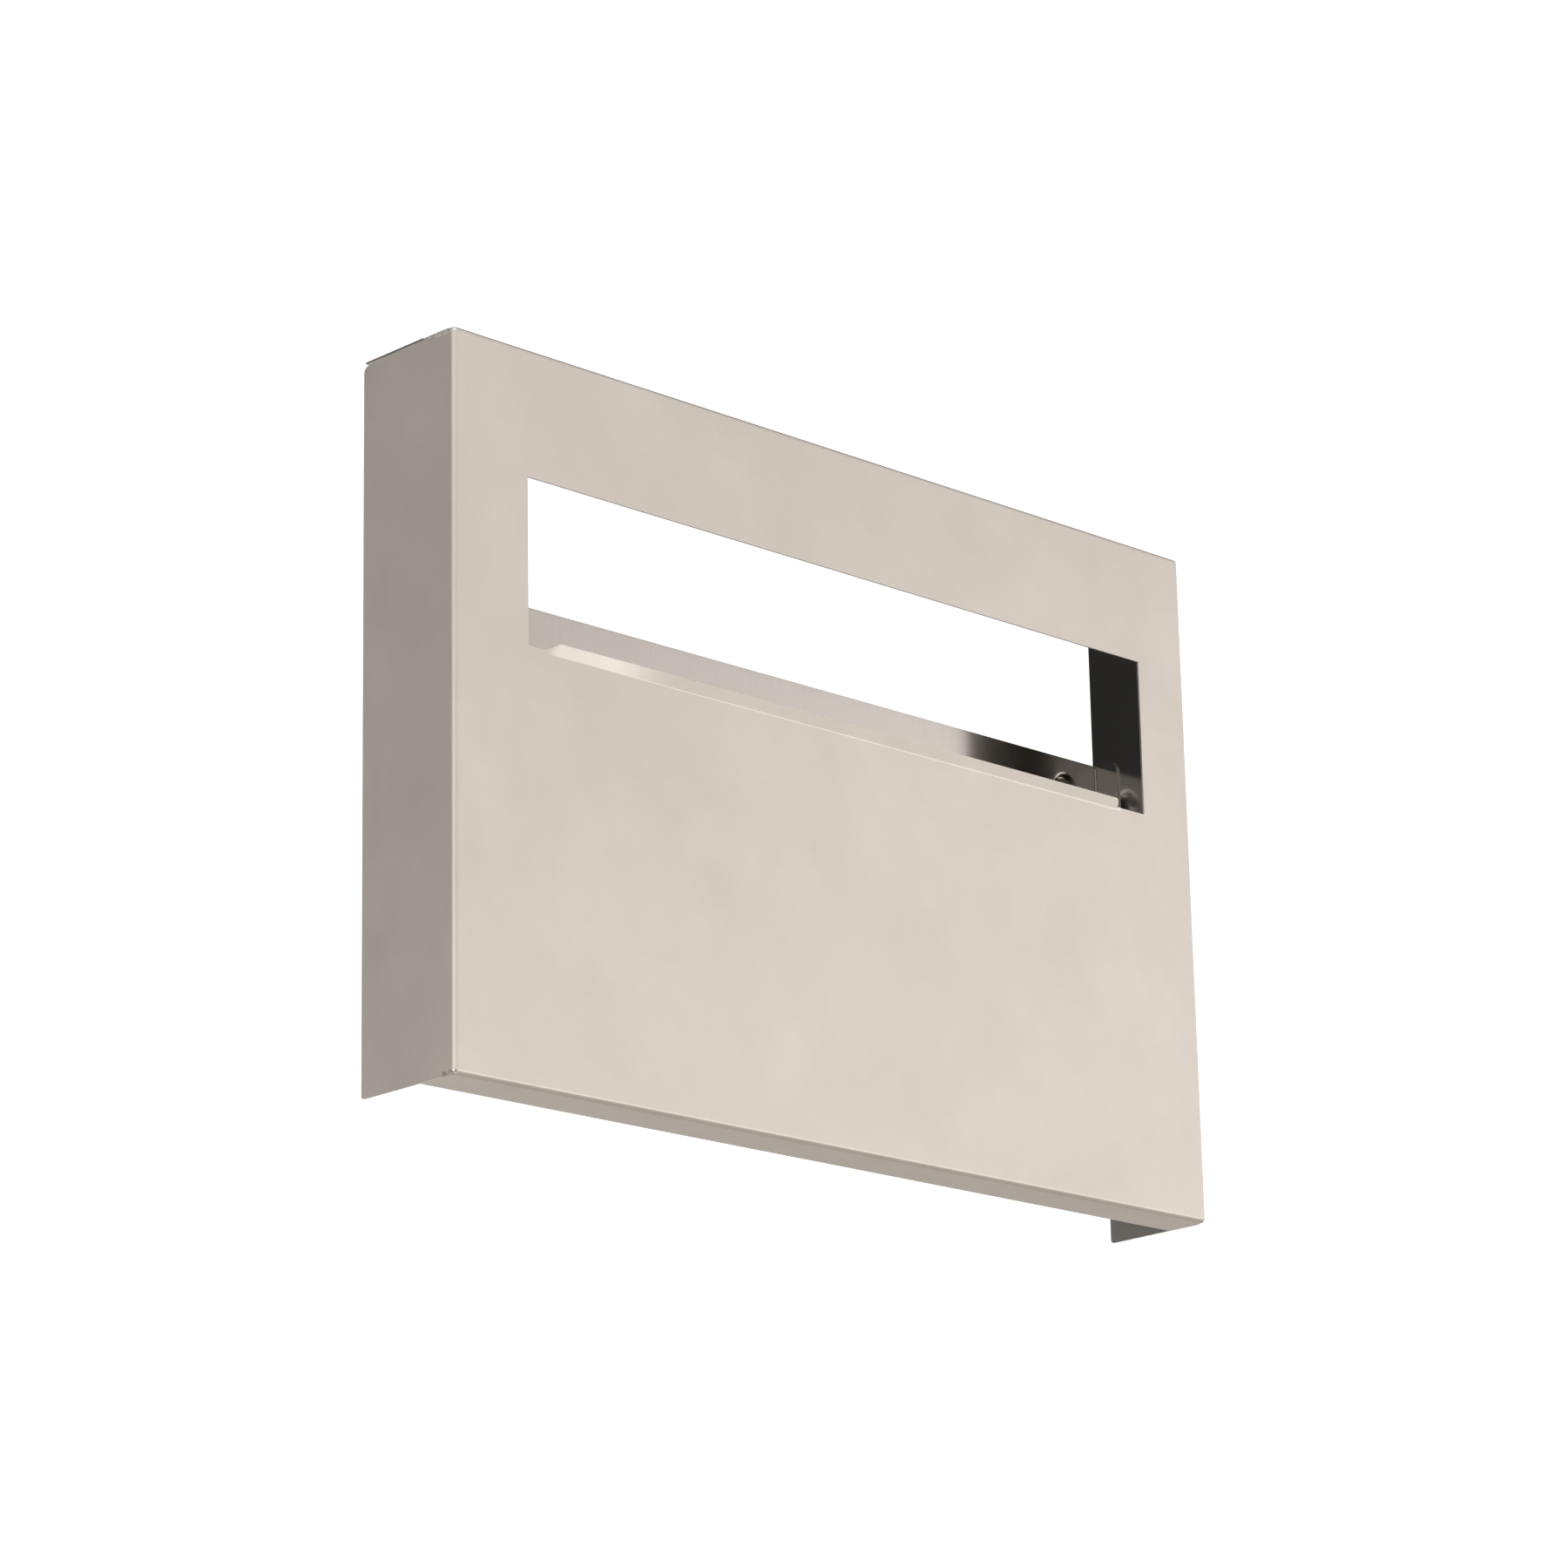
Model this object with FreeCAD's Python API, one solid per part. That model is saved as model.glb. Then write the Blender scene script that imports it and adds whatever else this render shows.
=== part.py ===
"""Wall cabinet that dispenses folded paper covers, in satin stainless sheet, in millimetres.

One folded shell makes the front, both sides, the top and the bottom flange. A back plate with
two side flanges is spot-welded between the sides. Four screws in dimpled holes hold it to a wall.

The origin is on the wall, at the centre of the four screws. +X runs to the right as a person
faces the cabinet, +Y runs into the wall and +Z runs up.
"""
import FreeCAD, Part
import math
import os

Vector = FreeCAD.Vector
X_AXIS = Vector(1, 0, 0)
Y_AXIS = Vector(0, 1, 0)

# ---- Sheet and folds ----
sheet = 0.8               # thickness of the stainless sheet
bend_inside = 1.2         # inside radius of every sharp fold
bend_outside = bend_inside + sheet

# ---- Cabinet, outside sizes ----
cabinet_width = 394.0
cabinet_height = 280.0
cabinet_depth = 51.0      # from the wall to the front face
top_setback = 1.1         # the top panel stops this far short of the wall
flange_depth = 19.5       # bottom flange, from the front face back
flange_gap = 0.4          # between the flange's ends and the side walls
side_top_radius = 2.4     # rear corner of a side wall, top
side_bottom_radius = 1.5  # rear corner of a side wall, bottom

# ---- Seam between the top panel and the side walls ----
seam_gap = 0.15           # along the closed stretch
seam_open = 1.1           # at the wall, where the fold springs open
seam_open_length = 18.0   # length of the opening stretch, from the wall forwards
weld_inset = 0.4          # from the end of the front fold to the weld
weld_length = 15.0
weld_height = 2.2
weld_depth = 0.6          # into the side wall
weld_below_top = 0.25

# ---- Corner relief where the front, side and bottom folds meet ----
relief_radius = 0.9
relief_inset = 1.3

# ---- Window in the front panel ----
window_left_margin = 35.4
window_width = 331.3
window_height = 65.0
window_top_margin = 50.3  # from the cabinet's top to the window's top edge

# ---- Pull lip along the window's lower edge, turned outwards ----
lip_left_inset = 11.6     # from the window's left edge to the lip's left end
lip_right_inset = 16.7    # from the lip's right end to the window's right edge
lip_bend_inside = 1.2
lip_angle = 36.0          # degrees, away from the front panel
lip_straight = 3.0        # flat part of the lip, beyond its fold
lip_corner_radius = 2.6   # rounded upper corners of the lip
lip_root_radius = 1.6     # hollow curves where the lip meets the window's edge

# ---- Back plate ----
plate_height = 181.2
plate_bottom_margin = 20.4   # from the cabinet's bottom to the plate's lower edge
plate_fit = 0.05             # between a plate flange and its side wall
plate_flange_depth = 12.0
plate_corner_radius = 4.0    # front corners of the plate's flanges

# ---- Wall screws, 4.2 mm self-tapping, pan head with a cross recess ----
screw_radius = 2.1
screw_neck_radius = 1.8   # where the thread runs out under the head
screw_length = 19.0       # under the head
screw_point_length = 4.5
screw_tip_radius = 0.3
head_radius = 4.0
head_height = 3.0
head_rim_height = 1.3
recess_depth = 1.7
recess_width = 1.1
recess_span = 4.4
recess_turn = 24.0        # degrees, how the cross happens to stand

# ---- Dimpled screw holes in the back plate ----
hole_side_inset = 20.5    # from the cabinet's side to a screw's axis
hole_edge_inset = 13.1    # from the plate's upper or lower edge to a screw's axis
hole_clearance = 0.4      # around a screw's thread
head_clearance = 0.75     # around a screw's head, on the floor of its dimple
dimple_depth = 1.2
dimple_slope = 2.25       # width of the sloping ring, seen along the screw

# ---- Places that follow from the sizes ----
CUT = 5.0                 # how far a cutter runs past the metal
left = -cabinet_width / 2
right = cabinet_width / 2
front = -cabinet_depth
weld_start = bend_outside + weld_inset
plate_middle = plate_bottom_margin + plate_height / 2
bottom = -plate_middle
top = bottom + cabinet_height
window_left = left + window_left_margin
window_top = top - window_top_margin
window_bottom = window_top - window_height
plate_bottom = bottom + plate_bottom_margin
lip_left = window_left + lip_left_inset
lip_right = window_left + window_width - lip_right_inset
hole_radius = screw_radius + hole_clearance
dimple_floor_radius = head_radius + head_clearance
dimple_rim_radius = dimple_floor_radius + dimple_slope
screw_x = cabinet_width / 2 - hole_side_inset
screw_z = plate_height / 2 - hole_edge_inset


def box(low, high):
    """A box between two corners."""
    size = high - low
    return Part.makeBox(size.x, size.y, size.z, low)


def edges_on_front(shape, y):
    """The straight edges of a box that lie in the plane at y."""
    return [edge for edge in shape.Edges if abs(edge.BoundBox.YMin - y) < 1e-6
            and abs(edge.BoundBox.YMax - y) < 1e-6]


def prism(points, direction):
    """Push a flat polygon along a direction."""
    outline = Part.makePolygon(points + points[:1])
    return Part.Face(outline).extrude(direction)


def rounded_corner_cutter(x_low, x_high, y, z, inward_z, radius):
    """What is cut off to round a side wall's corner at (y, z); inward_z is +1 or -1."""
    corner_y = y - radius
    corner_z = z + inward_z * radius
    low_z = min(z - inward_z * CUT, corner_z)
    high_z = max(z - inward_z * CUT, corner_z)
    block = box(Vector(x_low, corner_y, low_z), Vector(x_high, y + CUT, high_z))
    disc = Part.makeCylinder(radius, x_high - x_low, Vector(x_low, corner_y, corner_z), X_AXIS)
    return block.cut(disc)


def folded_box():
    """The sheet box: front, sides, top and bottom, open towards the wall."""
    outside = box(Vector(left, front, bottom), Vector(right, 0, top))
    outside = outside.makeFillet(bend_outside, edges_on_front(outside, front))
    inside_low = Vector(left + sheet, front + sheet, bottom + sheet)
    inside_high = Vector(right - sheet, CUT, top - sheet)
    inside = box(inside_low, inside_high)
    inside = inside.makeFillet(bend_inside, edges_on_front(inside, front + sheet))
    return outside.cut(inside)


def bottom_opening():
    """The filling gap behind the bottom flange, and the slits beside the flange."""
    low = Vector(left + sheet, front + flange_depth, bottom - CUT)
    high = Vector(right - sheet, CUT, bottom + 2 * sheet)
    cutters = [box(low, high)]
    slit_front = front + bend_outside
    for wall_face, toward_middle in ((left + sheet, 1), (right - sheet, -1)):
        inner_face = wall_face + toward_middle * flange_gap
        x_low = min(wall_face, inner_face)
        x_high = max(wall_face, inner_face)
        slit_low = Vector(x_low, slit_front, bottom - CUT)
        slit_high = Vector(x_high, CUT, bottom + sheet + bend_inside)
        cutters.append(box(slit_low, slit_high))
    return cutters


def corner_reliefs():
    """Small round reliefs where three folds meet at the lower front corners."""
    cutters = []
    for x in (left + relief_inset, right - relief_inset):
        start = Vector(x, front - CUT, bottom + relief_inset)
        cutters.append(Part.makeCylinder(relief_radius, CUT + bend_outside, start, Y_AXIS))
    return cutters


def seam_cutters():
    """The gap under the top panel's edge: closed near the weld and open near the wall."""
    seam_z = top - sheet
    start = front + weld_start + weld_length
    spring = -seam_open_length
    profile = [(start, seam_z), (start, seam_z - seam_gap), (spring, seam_z - seam_gap),
               (CUT, seam_z - seam_open), (CUT, seam_z)]
    cutters = []
    for x in (left - CUT, right - sheet):
        points = [Vector(x, y, z) for y, z in profile]
        cutters.append(prism(points, X_AXIS * (sheet + CUT)))
        cutters.append(rounded_corner_cutter(x, x + sheet + CUT, 0, seam_z - seam_gap, -1,
                                             side_top_radius).cut(top_panel_guard()))
        cutters.append(rounded_corner_cutter(x, x + sheet + CUT, 0, bottom, 1,
                                             side_bottom_radius))
    cutters.append(box(Vector(left - CUT, -top_setback, seam_z), Vector(right + CUT, CUT, top + CUT)))
    return cutters


def top_panel_guard():
    """The space of the top panel, which the corner rounding of a side wall leaves alone."""
    return box(Vector(left - 2 * CUT, front, top - sheet), Vector(right + 2 * CUT, 2 * CUT, top + 2 * CUT))


def weld_bead(x):
    """One ground corner weld: a shallow lens of metal, set into the outside of the corner."""
    start_y = front + weld_start
    end_y = start_y + weld_length
    upper_z = top - weld_below_top
    first = Vector(x, start_y, upper_z)
    lowest = Vector(x, (start_y + end_y) / 2, upper_z - weld_height)
    last = Vector(x, end_y, upper_z)
    outline = Part.Wire([Part.Arc(first, lowest, last).toShape(), Part.makeLine(last, first)])
    return Part.Face(outline).extrude(X_AXIS * weld_depth)


def weld_beads():
    """Both corner welds, left and right."""
    return [weld_bead(left), weld_bead(right - weld_depth)]


def window_cutter():
    """The window through the front panel."""
    low = Vector(window_left, front - CUT, window_bottom)
    high = Vector(window_left + window_width, front + sheet + CUT, window_top)
    return box(low, high)


def lip_outline():
    """Front view of the lip: a low tab with rounded shoulders and hollow roots, as a prism."""
    angle = math.radians(lip_angle)
    reach = lip_straight * math.cos(angle) + (lip_bend_inside + sheet) * math.sin(angle)
    base = window_bottom - sheet
    high = window_bottom + reach + CUT
    start_y = front - 2 * CUT
    depth = Vector(0, 3 * CUT, 0)
    block = box(Vector(lip_left, start_y, base), Vector(lip_right, start_y + depth.y, high))
    shoulder_z = window_bottom + reach
    for x, toward_middle in ((lip_left, 1), (lip_right, -1)):
        centre_x = x + toward_middle * lip_corner_radius
        centre_z = shoulder_z - lip_corner_radius
        near = min(x - toward_middle * CUT, centre_x)
        far = max(x - toward_middle * CUT, centre_x)
        cutter = box(Vector(near, start_y, centre_z), Vector(far, start_y + depth.y, high + CUT))
        disc = Part.makeCylinder(lip_corner_radius, depth.y, Vector(centre_x, start_y, centre_z), Y_AXIS)
        block = block.cut(cutter.cut(disc))
        root_x = x - toward_middle * lip_root_radius
        near = min(x, root_x)
        far = max(x, root_x)
        root_z = window_bottom + lip_root_radius
        root = box(Vector(near, start_y, base), Vector(far, start_y + depth.y, root_z))
        hollow = Part.makeCylinder(lip_root_radius, depth.y, Vector(root_x, start_y, root_z), Y_AXIS)
        block = block.fuse(root.cut(hollow))
    return block


def lip():
    """The pull lip: the sheet folded outwards along the window's lower edge."""
    angle = math.radians(lip_angle)
    side_x = lip_left - 2 * lip_root_radius
    centre = Vector(side_x, front - lip_bend_inside, window_bottom)

    def on_arc(radius, turn):
        return centre + Vector(0, radius * math.cos(turn), radius * math.sin(turn))

    outer = lip_bend_inside
    inner = lip_bend_inside + sheet
    along = Vector(0, -math.sin(angle), math.cos(angle)) * lip_straight
    front_foot = on_arc(outer, 0)
    rear_foot = on_arc(inner, 0)
    front_edge = on_arc(outer, angle) + along
    rear_edge = on_arc(inner, angle) + along
    root = Vector(0, 0, -sheet)
    edges = [
        Part.makeLine(rear_foot + root, front_foot + root),
        Part.makeLine(front_foot + root, front_foot),
        Part.Arc(front_foot, on_arc(outer, angle / 2), on_arc(outer, angle)).toShape(),
        Part.makeLine(on_arc(outer, angle), front_edge),
        Part.makeLine(front_edge, rear_edge),
        Part.makeLine(rear_edge, on_arc(inner, angle)),
        Part.Arc(on_arc(inner, angle), on_arc(inner, angle / 2), rear_foot).toShape(),
        Part.makeLine(rear_foot, rear_foot + root),
    ]
    strip_length = lip_right - lip_left + 4 * lip_root_radius
    strip = Part.Face(Part.Wire(edges)).extrude(X_AXIS * strip_length)
    return strip.common(lip_outline())


def front_shell():
    """The folded shell, with its window, lip, reliefs, seams and grooves for the welds."""
    shell = folded_box()
    cutters = bottom_opening() + corner_reliefs() + seam_cutters() + weld_beads()
    cutters.append(window_cutter())
    for cutter in cutters:
        shell = shell.cut(cutter)
    return shell.fuse(lip()).removeSplitter()


def screw_places():
    """The four screw axes, as (x, z)."""
    return [(x, z) for x in (-screw_x, screw_x) for z in (-screw_z, screw_z)]


def back_plate():
    """The back plate: a web with two side flanges and four dimpled holes."""
    web_rear = -dimple_depth
    half_width = cabinet_width / 2 - sheet - plate_fit
    low = Vector(-half_width, web_rear - sheet - plate_flange_depth, plate_bottom)
    high = Vector(half_width, web_rear, plate_bottom + plate_height)
    plate = box(low, high)
    plate = plate.makeFillet(bend_outside, [edge for edge in edges_on_front(plate, web_rear)
                                            if abs(edge.BoundBox.ZLength - plate_height) < 1e-6])
    hollow_low = Vector(low.x + sheet, low.y - CUT, low.z - CUT)
    hollow_high = Vector(high.x - sheet, web_rear - sheet, high.z + CUT)
    hollow = box(hollow_low, hollow_high)
    hollow = hollow.makeFillet(bend_inside, [edge for edge in edges_on_front(hollow, hollow_high.y)
                                             if edge.BoundBox.ZLength > plate_height])
    plate = plate.cut(hollow)
    plate = plate.cut(flange_corner_cutter(low.y, low.z, 1))
    plate = plate.cut(flange_corner_cutter(low.y, high.z, -1))
    slope = math.atan2(dimple_rim_radius - dimple_floor_radius, dimple_depth)
    wall_step = sheet * math.tan((math.pi / 2 - slope) / 2)
    for x, z in screw_places():
        rear_start = Vector(x, web_rear, z)
        front_start = Vector(x, web_rear - sheet, z)
        rear_cone = Part.makeCone(dimple_rim_radius + wall_step, dimple_floor_radius + wall_step,
                                  dimple_depth, rear_start, Y_AXIS)
        front_cone = Part.makeCone(dimple_rim_radius, dimple_floor_radius, dimple_depth,
                                   front_start, Y_AXIS)
        hole = Part.makeCylinder(hole_radius, dimple_depth + 2 * CUT,
                                 Vector(x, web_rear - CUT, z), Y_AXIS)
        plate = plate.fuse(rear_cone).cut(front_cone).cut(hole)
    return plate.removeSplitter()


def flange_corner_cutter(y, z, inward_z):
    """What is cut off to round the front corners of the plate's flanges at height z."""
    radius = plate_corner_radius
    centre_y = y + radius
    centre_z = z + inward_z * radius
    low_z = min(z - inward_z * CUT, centre_z)
    high_z = max(z - inward_z * CUT, centre_z)
    block = box(Vector(left, y - CUT, low_z), Vector(right, centre_y, high_z))
    disc = Part.makeCylinder(radius, cabinet_width, Vector(left, centre_y, centre_z), X_AXIS)
    return block.cut(disc)


def wall_screw(x, z):
    """One pan-head screw along +Y. Its head rests in a dimple, and its thread starts at the wall."""
    seat = -sheet
    thread_start = 0
    rim = seat - head_rim_height
    crown = seat - head_height
    point_start = seat + screw_length - screw_point_length
    tip = seat + screw_length
    dome_rise = head_height - head_rim_height
    dome_radius = (head_radius ** 2 + dome_rise ** 2) / (2 * dome_rise)
    half_turn = math.asin(head_radius / dome_radius) / 2
    mid_radius = dome_radius * math.sin(half_turn)
    mid_y = crown + dome_radius * (1 - math.cos(half_turn))
    edges = [
        Part.makeLine(Vector(0, crown, 0), Vector(0, tip, 0)),
        Part.makeLine(Vector(0, tip, 0), Vector(screw_tip_radius, tip, 0)),
        Part.makeLine(Vector(screw_tip_radius, tip, 0), Vector(screw_radius, point_start, 0)),
        Part.makeLine(Vector(screw_radius, point_start, 0), Vector(screw_radius, thread_start, 0)),
        Part.makeLine(Vector(screw_radius, thread_start, 0), Vector(screw_neck_radius, thread_start, 0)),
        Part.makeLine(Vector(screw_neck_radius, thread_start, 0), Vector(screw_neck_radius, seat, 0)),
        Part.makeLine(Vector(screw_neck_radius, seat, 0), Vector(head_radius, seat, 0)),
        Part.makeLine(Vector(head_radius, seat, 0), Vector(head_radius, rim, 0)),
        Part.Arc(Vector(head_radius, rim, 0), Vector(mid_radius, mid_y, 0),
                 Vector(0, crown, 0)).toShape(),
    ]
    screw = Part.Face(Part.Wire(edges)).revolve(Vector(0, 0, 0), Y_AXIS, 360)
    for turn in (recess_turn, recess_turn + 90):
        slot = box(Vector(-recess_span / 2, crown - CUT, -recess_width / 2),
                   Vector(recess_span / 2, crown + recess_depth, recess_width / 2))
        slot.rotate(Vector(0, 0, 0), Y_AXIS, turn)
        screw = screw.cut(slot)
    screw.translate(Vector(x, 0, z))
    return screw


def save(node, shape):
    """Write one node and print what it holds."""
    shape.exportStep("parts/" + node + ".step")
    bounds = shape.BoundBox
    print(node, "solids", len(shape.Solids), "volume", round(shape.Volume, 1), "valid", shape.isValid())
    print("  x", round(bounds.XMin, 2), round(bounds.XMax, 2), "y", round(bounds.YMin, 2),
          round(bounds.YMax, 2), "z", round(bounds.ZMin, 2), round(bounds.ZMax, 2))


os.makedirs("parts", exist_ok=True)
save("front_shell", front_shell())
save("back_plate", back_plate())
save("corner_welds", Part.makeCompound(weld_beads()))
save("wall_screws", Part.makeCompound([wall_screw(x, z) for x, z in screw_places()]))
print("window bottom and top", round(window_bottom, 2), round(window_top, 2))
print("screw spacing", 2 * screw_x, "by", 2 * screw_z)
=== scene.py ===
# %% [markdown]
# # A folded steel cabinet for paper covers
# This lesson builds the looks of a shallow wall cabinet. A stack of folded paper covers stands
# inside it, and a person pulls one out through the wide window in the front. The real cabinet is
# made from two pieces of stainless sheet, less than a millimetre thick: a folded shell and a back
# plate. Four screws hold it to a wall.
#
# The size and the place of every part are settled already in a frame that comes from the design.
# We load that frame first, and build each visible piece around it.

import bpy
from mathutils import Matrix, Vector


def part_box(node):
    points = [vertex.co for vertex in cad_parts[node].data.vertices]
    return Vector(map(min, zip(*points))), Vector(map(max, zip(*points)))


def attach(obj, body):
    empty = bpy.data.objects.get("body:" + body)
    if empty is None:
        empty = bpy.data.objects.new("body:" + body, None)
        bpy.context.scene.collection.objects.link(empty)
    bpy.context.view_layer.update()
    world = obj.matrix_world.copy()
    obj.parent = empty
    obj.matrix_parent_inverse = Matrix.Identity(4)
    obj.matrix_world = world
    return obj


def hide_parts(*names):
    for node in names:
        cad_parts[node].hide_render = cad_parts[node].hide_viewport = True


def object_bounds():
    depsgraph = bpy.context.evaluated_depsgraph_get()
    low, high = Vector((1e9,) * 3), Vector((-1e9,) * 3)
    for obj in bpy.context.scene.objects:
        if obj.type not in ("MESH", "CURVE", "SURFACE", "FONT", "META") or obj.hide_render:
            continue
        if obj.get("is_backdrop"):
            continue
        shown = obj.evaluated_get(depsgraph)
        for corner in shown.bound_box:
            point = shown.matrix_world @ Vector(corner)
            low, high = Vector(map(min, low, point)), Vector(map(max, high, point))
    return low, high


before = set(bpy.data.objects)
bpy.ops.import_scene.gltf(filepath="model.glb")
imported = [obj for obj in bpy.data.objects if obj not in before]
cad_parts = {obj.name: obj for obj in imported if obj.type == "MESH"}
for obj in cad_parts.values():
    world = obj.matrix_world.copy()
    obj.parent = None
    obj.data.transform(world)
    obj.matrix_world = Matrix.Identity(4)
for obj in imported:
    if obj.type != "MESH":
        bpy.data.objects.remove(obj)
cad_low, cad_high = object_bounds()
print("The design's box starts at", tuple(round(v, 4) for v in cad_low))
print("and ends at", tuple(round(v, 4) for v in cad_high))

# %% [markdown]
# Blender works in metres, but a sheet-metal worker thinks in millimetres. One small constant lets us
# write the sizes of folds and edges in millimetres and read them easily later.

# %% Units and tools
import math
import bmesh
import bpy
from mathutils import Matrix, Vector

MM = 0.001
SHEET = 0.8 * MM
print("The sheet is", SHEET / MM, "mm thick")

# %% [markdown]
# ## Reading the places of things
# A good habit is to measure the design instead of typing its numbers again. The front panel's face
# is where the shell's points lie near its top, clear of the lip that stands out further down. The
# points that lie on that face, away from its rim, are the corners of the window.

# %% Measure the shell
RIM = 5 * MM
CLOSE = 0.01 * MM
left, _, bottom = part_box("front_shell")[0]
right, wall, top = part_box("front_shell")[1]
shell_points = [vertex.co.copy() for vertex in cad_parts["front_shell"].data.vertices]
front = min(point.y for point in shell_points if point.z > top - RIM)
face_points = [point for point in shell_points if abs(point.y - front) < CLOSE]
FOLD = min(point.x for point in face_points) - left
print("Front face at", round(front / MM, 2), "and folds of radius", round(FOLD / MM, 2))

# %% Measure the window and the lip
def inside_rim(point):
    """True for a point of the front face that is away from the panel's rim."""
    return left + RIM < point.x < right - RIM and bottom + RIM < point.z < top - RIM


panel_points = [point for point in face_points if inside_rim(point)]
window_left = min(point.x for point in panel_points)
window_right = max(point.x for point in panel_points)
window_top = max(point.z for point in panel_points)
window_bottom = min(point.z for point in panel_points if point.x < window_left + 1 * MM)
lip_points = [point for point in shell_points if point.y < front - 0.5 * MM]
lip_left = min(point.x for point in lip_points)
lip_right = max(point.x for point in lip_points)
print("Window from", round(window_left / MM, 1), "to", round(window_right / MM, 1), "mm across")
print("Window from", round(window_bottom / MM, 1), "to", round(window_top / MM, 1), "mm up")
print("Lip from", round(lip_left / MM, 1), "to", round(lip_right / MM, 1), "mm across")

# %% [markdown]
# ## A helper for sheet metal
# Sheet metal is a skin with a thickness. The easiest way to model it is to draw only its outer skin
# as patches of four-sided faces, weld the patches where they meet, and let the Solidify modifier
# grow the thickness inwards. A small Bevel then breaks the cut edges, as a maker does with a
# deburring tool, and Weighted Normals keep the flat panels looking flat.
#
# Solidify can give the inner skin and the cut rim materials of their own. The outside of the real
# cabinet is ground to a satin finish, but the inside keeps the smooth skin of the rolling mill.

# %% Patches and how they are welded
TOUCHING = 0.002 * MM


def blend_smoothly(value):
    """An S-shaped ramp from 0 to 1, flat at both ends."""
    value = min(max(value, 0.0), 1.0)
    return value * value * (3 - 2 * value)


def spread(start, end, steps):
    """Evenly spaced values from start to end, both included."""
    return [start + (end - start) * i / steps for i in range(steps + 1)]


def empty_skin():
    """A skin with no patches yet."""
    return {"points": [], "faces": []}


def add_patch(skin, rows):
    """Add faces between neighbouring rows of points."""
    width = len(rows[0])
    first = len(skin["points"])
    for row in rows:
        skin["points"].extend(row)
    for r in range(len(rows) - 1):
        for c in range(width - 1):
            corner = first + r * width + c
            skin["faces"].append((corner, corner + 1, corner + width + 1, corner + width))


def add_object(name, mesh):
    """Put a mesh into the scene as an object."""
    piece = bpy.data.objects.new(name, mesh)
    bpy.context.scene.collection.objects.link(piece)
    return piece


def weld_patches(name, skin, outside):
    """Make one mesh object. outside is a point well outside the skin's largest face."""
    mesh = bpy.data.meshes.new(name)
    mesh.from_pydata(skin["points"], [], skin["faces"])
    builder = bmesh.new()
    builder.from_mesh(mesh)
    bmesh.ops.remove_doubles(builder, verts=builder.verts, dist=TOUCHING)
    bmesh.ops.dissolve_degenerate(builder, edges=builder.edges, dist=TOUCHING)
    bmesh.ops.recalc_face_normals(builder, faces=builder.faces)
    builder.faces.ensure_lookup_table()
    largest = max(builder.faces, key=lambda face: face.calc_area())
    if largest.normal.dot(Vector(outside) - largest.calc_center_median()) < 0:
        bmesh.ops.reverse_faces(builder, faces=builder.faces)
    builder.to_mesh(mesh)
    builder.free()
    return add_object(name, mesh)


print("Points closer than", TOUCHING / MM, "mm are welded into one")


# %% Thickness and broken edges
def shade_smooth(piece):
    """Shade every face smoothly."""
    for face in piece.data.polygons:
        face.use_smooth = True


def thicken(piece, finishes, edge_width):
    """Give a skin its sheet thickness, broken edges and clean shading."""
    for finish in finishes:
        piece.data.materials.append(finish)
    solid = piece.modifiers.new("sheet_thickness", "SOLIDIFY")
    solid.thickness = SHEET
    solid.offset = -1
    solid.use_even_offset = True
    solid.material_offset = 1
    solid.material_offset_rim = 2
    bevel = piece.modifiers.new("broken_edges", "BEVEL")
    bevel.width = edge_width
    bevel.segments = 2
    bevel.limit_method = "ANGLE"
    bevel.angle_limit = math.radians(50)
    normals = piece.modifiers.new("flat_panels", "WEIGHTED_NORMAL")
    normals.keep_sharp = True
    shade_smooth(piece)


print("Every skin will grow", SHEET / MM, "mm inwards")

# %% [markdown]
# ## Satin stainless, and how it is lit
# A satin finish comes from an abrasive belt that leaves millions of short, parallel scratches. Each
# scratch tilts the surface a little, so a reflection is smeared across the scratches and the panel
# looks soft. We make it from one Principled shader at full metallic. Its anisotropy smears the
# reflections, and three layers go on top: long thin noise for the scratches, wide clouds for the
# faint stains of handling, and a bump that comes from the same scratches. The sheet was ground
# before it was folded, so the grain runs up the front and the sides, and from front to back on the
# top and the bottom.
#
# Each finish has the same needs, so we write small helpers first: one for each kind of node.

# %% Material helpers
def new_material(name, metal, roughness, tint):
    """A metallic Principled material and the parts that the next steps connect to."""
    material = bpy.data.materials.new(name)
    material.use_nodes = True
    shader = material.node_tree.nodes["Principled BSDF"]
    shader.inputs["Metallic"].default_value = metal
    shader.inputs["Roughness"].default_value = roughness
    shader.inputs["Base Color"].default_value = (*tint, 1)
    return material, material.node_tree, shader


def noise(tree, vector, scale, detail, roughness=0.5):
    """A noise texture read at vector."""
    node = tree.nodes.new("ShaderNodeTexNoise")
    node.inputs["Scale"].default_value = scale
    node.inputs["Detail"].default_value = detail
    node.inputs["Roughness"].default_value = roughness
    tree.links.new(vector, node.inputs["Vector"])
    return node.outputs["Fac"]


def stretch(tree, vector, scale):
    """Multiply a vector by three factors."""
    node = tree.nodes.new("ShaderNodeVectorMath")
    node.operation = "MULTIPLY"
    node.inputs[1].default_value = scale
    tree.links.new(vector, node.inputs[0])
    return node.outputs["Vector"]


def remap(tree, value, low, high, to_low, to_high):
    """Turn a value between low and high into one between to_low and to_high."""
    node = tree.nodes.new("ShaderNodeMapRange")
    tree.links.new(value, node.inputs["Value"])
    for socket, number in zip(("From Min", "From Max", "To Min", "To Max"),
                              (low, high, to_low, to_high)):
        node.inputs[socket].default_value = number
    return node.outputs["Result"]


def vary(tree, clouds, low, high):
    """Let a value drift between low and high with a noise, which runs from about 0.3 to 0.7."""
    return remap(tree, clouds, 0.3, 0.7, low, high)


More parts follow.
